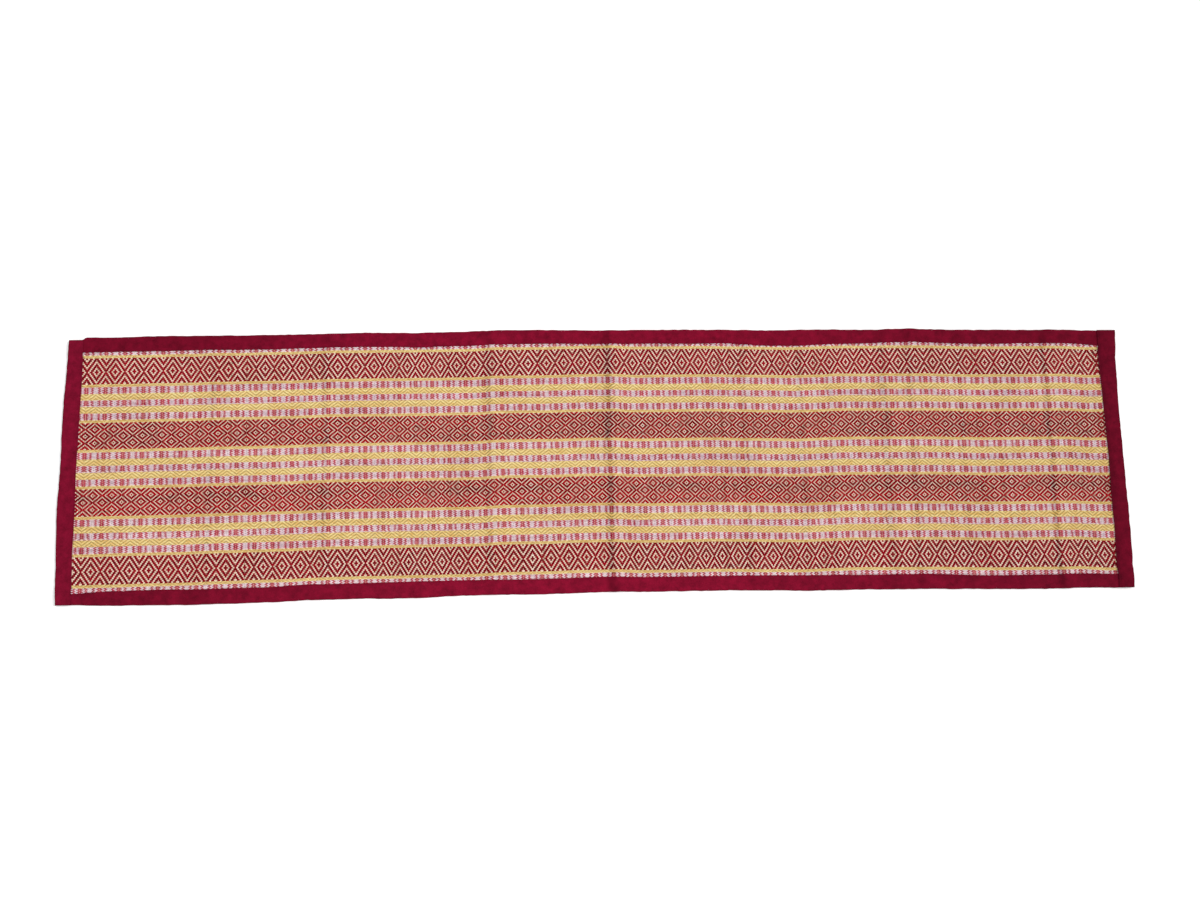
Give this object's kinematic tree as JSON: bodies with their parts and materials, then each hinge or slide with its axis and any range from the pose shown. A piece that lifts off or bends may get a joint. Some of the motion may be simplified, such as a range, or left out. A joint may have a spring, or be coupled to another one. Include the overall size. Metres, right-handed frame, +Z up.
{
  "type": "woven grass floor mat",
  "caption": "Long flat floor mat of woven grass and dyed yarn in striped diamond bands, bound on all four sides with folded maroon cotton tape.",
  "frame": {"origin": "on the floor, under the middle of the mat's bounding box", "axes": "+X along the mat, +Y across it, +Z up out of its patterned face"},
  "size_m": [1.8399, 0.4664, 0.0086],
  "materials": {
    "woven_grass": "grass reeds bound by dyed cotton warps in maroon, yellow, pink and white, matt",
    "cotton_tape": "maroon cotton tape, plain weave, matt"
  },
  "bodies": {
    "root": {"woven_panel": "woven_grass", "far_edge_binding": "cotton_tape", "near_edge_binding": "cotton_tape", "left_end_binding": "cotton_tape", "right_end_binding": "cotton_tape"}
  },
  "joints": []
}
